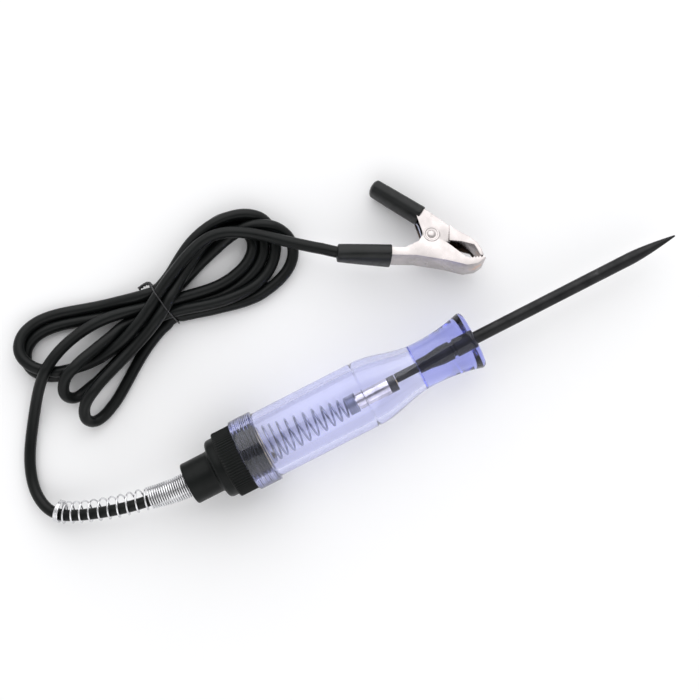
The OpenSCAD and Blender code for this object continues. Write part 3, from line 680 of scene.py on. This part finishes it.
# ------------------------------------------------------------------ probe
# A steel rod, 3.4 mm thick, ground to a point over its last 13 mm and blackened. Its thinner shank is moulded
# into the nose, with a groove that locks it, and its rear end stands in the bore as the lamp's contact.
PROBE_R, SHANK_R, PROBE_REAR_X, TIP_X, POINT_X = 1.7, 1.3, -11.2, 72.3, 59.0
u = np.linspace(0, 1, 40)
point_x = POINT_X + (TIP_X - 0.25 - POINT_X) * u
point_r = PROBE_R + (0.25 - PROBE_R) * u**1.5
a = np.linspace(0, math.pi / 2 * 0.9, 7)[1:]
x, r = through((PROBE_REAR_X, 0.2), (PROBE_REAR_X, SHANK_R, 0.3), (BORE_FRONT_X + 3, SHANK_R, 1),
               (BORE_FRONT_X + 7, PROBE_R, 1), (NOSE_X - 6.4, PROBE_R, 0.3), (NOSE_X - 6.2, 1.35, 0.15),
               (NOSE_X - 5.4, 1.35, 0.15), (NOSE_X - 5.2, PROBE_R, 0.3), (POINT_X - 0.2, PROBE_R), step=1.2)
x = np.concatenate([x, point_x, TIP_X - 0.25 + 0.25 * np.sin(a)])
r = np.concatenate([r, point_r, 0.25 * np.cos(a)])

probe_black, tree, shader = new_material("probe_black", Metallic=0.85)
at = coordinate(tree)
drawn_out = tree.nodes.new("ShaderNodeMapping")
drawn_out.inputs["Scale"].default_value = (1.0, 0.12, 0.12)
tree.links.new(at, drawn_out.inputs["Vector"])
ground = noise(tree, drawn_out.outputs["Vector"], 3800, 3)
mottled(tree, shader, "Base Color", noise(tree, at, 170, 5, 0.6),
        (0.3, (0.014, 0.0145, 0.0155)), (0.62, (0.030, 0.030, 0.031)), (0.8, (0.12, 0.12, 0.125)))
mottled(tree, shader, "Roughness", noise(tree, at, 600, 4), (0.3, 0.30), (0.7, 0.46))
bumped(tree, shader, ground, 0.22, 0.00003)
probe = turned("probe_rod", x, r, probe_black, columns=64)
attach(probe, "barrel")
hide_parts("probe")

# ------------------------------------------------------------------ clip
# The earth clip: two jaws pressed from nickel-plated sheet steel, half a millimetre thick, riveted through
# the ears of the lower one and held shut by a torsion spring. The plating is worn off to its copper at the
# teeth.
CLIP_AT = np.array([14.2, 28.9, 7.0])


def spun(axis, degrees):
    """The rotation matrix about x, y or z."""
    c, s = math.cos(math.radians(degrees)), math.sin(math.radians(degrees))
    matrix, (i, j) = np.eye(3), {"x": (1, 2), "y": (2, 0), "z": (0, 1)}[axis]
    matrix[i, i] = matrix[j, j] = c
    matrix[i, j], matrix[j, i] = -s, s
    return matrix


CLIP_TURN = spun("z", -30) @ spun("y", 5) @ spun("x", -110)


def on_clip(points):
    """Points drawn round the rivet, with x to the nose, y along it and z to the grip, as they lie on the
    bench."""
    return CLIP_AT + np.asarray(points, float) @ CLIP_TURN.T


clip_nickel, tree, shader = new_material("clip_nickel", Metallic=1.0)
at = coordinate(tree)
bright = ramp(tree, noise(tree, at, 230, 4), (0.3, (0.44, 0.41, 0.405)), (0.65, (0.56, 0.52, 0.515)))
from_teeth = tree.nodes.new("ShaderNodeVectorMath")
from_teeth.operation = "DISTANCE"
from_teeth.inputs[1].default_value = on_clip([11.6, 0, -5.6]) * 0.001
tree.links.new(at, from_teeth.inputs[0])
worn = tree.nodes.new("ShaderNodeMapRange")
worn.inputs["From Min"].default_value, worn.inputs["From Max"].default_value = 0.0030, 0.0014
tree.links.new(from_teeth.outputs["Value"], worn.inputs["Value"])
patchy = tree.nodes.new("ShaderNodeMath")
patchy.operation = "MULTIPLY"
tree.links.new(worn.outputs["Result"], patchy.inputs[0])
tree.links.new(ramp(tree, noise(tree, at, 900, 3), (0.42, 0.0), (0.56, 0.9)), patchy.inputs[1])
painted_shade = tree.nodes.new("ShaderNodeMixRGB")
plate = tree.nodes.new("ShaderNodeMixRGB")
tree.links.new(patchy.outputs["Value"], plate.inputs["Fac"])
tree.links.new(bright, plate.inputs["Color1"])
plate.inputs["Color2"].default_value = (0.78, 0.44, 0.28, 1)
# Walls inside the channel are painted dark brown-black over the plating: painted shade.
inner = tree.nodes.new("ShaderNodeAttribute")
inner.attribute_name = "channel_shade"
tree.links.new(inner.outputs["Fac"], painted_shade.inputs["Fac"])
tree.links.new(plate.outputs["Color"], painted_shade.inputs["Color1"])
tree.links.new(ramp(tree, noise(tree, at, 700, 3), (0.45, (0.035, 0.032, 0.03)), (0.7, (0.16, 0.11, 0.085))),
               painted_shade.inputs["Color2"])
tree.links.new(painted_shade.outputs["Color"], shader.inputs["Base Color"])
mottled(tree, shader, "Roughness", noise(tree, at, 600, 4), (0.3, 0.24), (0.7, 0.36))
pressed_in = bumped(tree, shader, noise(tree, at, 120, 2), 0.15, 0.0005)
bumped(tree, shader, noise(tree, at, 2600, 3), 0.15, 0.00003, pressed_in)


def pressed(name, node, edge):
    """A pressed sheet: the CAD node's own solid as one closed skin, with each sharp edge rounded off by edge
    millimetres, as the press and the plating leave it. The walls that face the other wall of the channel get
    an attribute by which the material paints them dark, as painted shade inside the channel."""
    mesh = nodes[node].data.copy()
    mesh.transform(nodes[node].matrix_world)
    mesh.materials.clear()
    mesh.materials.append(clip_nickel)
    shape = bmesh.new()
    shape.from_mesh(mesh)
    bmesh.ops.remove_doubles(shape, verts=shape.verts, dist=2e-6)
    bmesh.ops.dissolve_limit(shape, angle_limit=0.02, verts=shape.verts, edges=shape.edges)
    sharp = [e for e in shape.edges if len(e.link_faces) == 2 and e.calc_face_angle(0) > 0.6]
    bmesh.ops.bevel(shape, geom=sharp, offset=edge * 0.001, segments=2, profile=0.5, affect="EDGES",
                    clamp_overlap=True)
    bmesh.ops.triangulate(shape, faces=[f for f in shape.faces if len(f.verts) > 4])
    # Faces on the inner walls of the channel are flagged here for painted shade.
    shade_mark = shape.faces.layers.float.new("channel_shade")
    for face in shape.faces:
        face.smooth = True
        aside = (np.array(face.calc_center_median()) * 1000 - CLIP_AT) @ CLIP_TURN[:, 1]
        face[shade_mark] = float(aside * (np.array(face.normal) @ CLIP_TURN[:, 1]) < -0.5)
    for line in shape.edges:
        line.smooth = len(line.link_faces) == 2 and line.calc_face_angle(0) < 0.7
    shape.to_mesh(mesh)
    shape.free()
    made = bpy.data.objects.new(name, mesh)
    bpy.context.scene.collection.objects.link(made)
    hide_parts(node)
    return made


lower_jaw = pressed("jaw_with_ears", "clip_lower_jaw", 0.09)
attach(lower_jaw, "root")
upper_jaw = pressed("jaw_with_arm", "clip_upper_jaw", 0.09)
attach(upper_jaw, "clip_jaw")

# ------------------------------------------------------------------ rivet
# A plated steel rivet with a domed head outside each ear, in a shallow ring that the press leaves in the ear.


def spun_on_rivet(y, r, count=48):
    """A grid of rings about the rivet's axis, from stations y and radii r."""
    a = np.linspace(0, 2 * math.pi, count, endpoint=False)
    return on_clip(np.stack([r[:, None] * np.sin(a), np.broadcast_to(y[:, None], (len(y), count)),
                             r[:, None] * np.cos(a)], -1))


a = np.linspace(0.1, math.pi / 2, 8)
head_y, head_r = 3.52 + 0.42 * np.cos(a), 1.15 * np.sin(a)
rivet = skin("rivet_domed", spun_on_rivet(np.r_[-head_y, -3.5, -3.48, 3.48, 3.5, head_y[::-1]],
                                          np.r_[head_r, 1.12, 0.94, 0.94, 1.12, head_r[::-1]]), clip_nickel)
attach(rivet, "root")
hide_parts("clip_rivet")
for count, side in enumerate((-1, 1)):
    a = np.linspace(0, 2 * math.pi, 13)[:-1]
    loop_y = side * (3.5 + 0.14 * np.sin(a))
    loop = spun_on_rivet(loop_y, 1.9 + 0.32 * side * np.cos(a), 64)
    pressed_ring = skin("ear_ring_" + str(count + 1), loop, clip_nickel, loop_u=True)
    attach(pressed_ring, "root")

# ------------------------------------------------------------------ torsion spring
# Drawn steel wire wound 2.8 turns round the rivet. One leg bears on the lower jaw's floor and the other one
# on the upper arm, so the coil winds up when the clip is pressed open.
t = np.linspace(0, 2.8, 2 * 56 + 1)
a = math.radians(140) - 2 * math.pi * t
wound_part = np.stack([1.65 * np.cos(a), -1 + 2 * t / 2.8, 1.65 * np.sin(a)], 1)
torsion_line = spline(np.concatenate([[(-6.6, -1, -5.35), (-4.2, -1, -4.1)], wound_part,
                                      [(-3, 1, 4.2), (-4, 1, 5)]]), 0.3)
# The torsion spring takes the same darkened steel: painted shade.
torsion_spring = skin("torsion_spring", carried(on_clip(torsion_line), ring(0.28, 10)), shaded_steel)
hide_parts("clip_spring")
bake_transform(torsion_spring)

# ------------------------------------------------------------------ clip sleeves
# Two soft black vinyl sleeves, dip-moulded and pushed on: a closed one over the upper jaw's arm, and an open
# one over the lower jaw's tail and the end of the lead, narrowed to the lead at its rear.
vinyl, tree, shader = new_material("sleeve_vinyl", Specular_IOR_Level=0.3)
at = coordinate(tree)
mottled(tree, shader, "Base Color", noise(tree, at, 200, 4),
        (0.3, (0.004, 0.005, 0.005)), (0.7, (0.009, 0.010, 0.0105)))
mottled(tree, shader, "Roughness", noise(tree, at, 700, 4), (0.3, 0.30), (0.7, 0.46))
wavy = bumped(tree, shader, noise(tree, at, 160, 2), 0.25, 0.0006)
bumped(tree, shader, noise(tree, at, 1300, 3), 0.3, 0.00008, wavy)


def sleeve(name, start, way, stations):
    """A flattened sleeve: rings whose half width and half height follow the stations (way along, width,
    height) from the point start in the direction way, each ring an oval with its corners filled out."""
    a = np.linspace(0, 2 * math.pi, 56, endpoint=False)
    c, s = np.cos(a), np.sin(a)
    over, up = np.sign(c) * np.abs(c) ** 0.8, np.sign(s) * np.abs(s) ** 0.8
    way = np.array([way[0], 0, way[1]]) / math.hypot(*way)
    high = np.array([-way[2], 0, way[0]])
    rows = [np.array([start[0], 0, start[1]]) + t * way + (w * over)[:, None] * np.array([0, 1.0, 0])
            + (h * up)[:, None] * high for t, w, h in stations]
    made = skin(name, on_clip(np.array(rows)), vinyl)
    return made


def outline(length, rear, front, wall, round_end):
    """Stations of a sleeve from its rear to its rim, back inside its mouth. The width and height swell
    evenly from rear to front, and a closed rear end is rounded over like a quarter of an oval."""
    a = np.linspace(0.15, math.pi / 2, 9)
    ends = [(round_end * (1 - math.cos(b)), rear[0] * math.sin(b), rear[1] * math.sin(b)) for b in a]
    u = np.linspace(0, 1, 26)[1:]
    body = [(round_end + (length - round_end - 0.2) * v, rear[0] + (front[0] - rear[0]) * v**0.75,
             rear[1] + (front[1] - rear[1]) * v**0.75) for v in u]
    w, h = front
    lips = [(length - 0.06, w - 0.06, h - 0.06), (length, w - 0.5 * wall, h - 0.5 * wall),
            (length - 0.06, w - wall + 0.05, h - wall + 0.05), (length - 0.3, w - wall, h - wall),
            (length - 2.4, w - wall, h - wall)]
    return ends + body + lips


grip = sleeve("grip_sleeve", (-15.9, 14.45), (10.15, -6.0), outline(15.6, (3.2, 2.1), (3.5, 2.3), 0.4, 1.3))
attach(grip, "clip_jaw")
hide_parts("clip_grip")
boot = sleeve("boot_sleeve", (-24.9, -5.5), (1, 0), outline(14.4, (2.3, 2.3), (4.15, 2.55), 0.3, 0.5))
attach(boot, "root")
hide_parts("clip_boot")
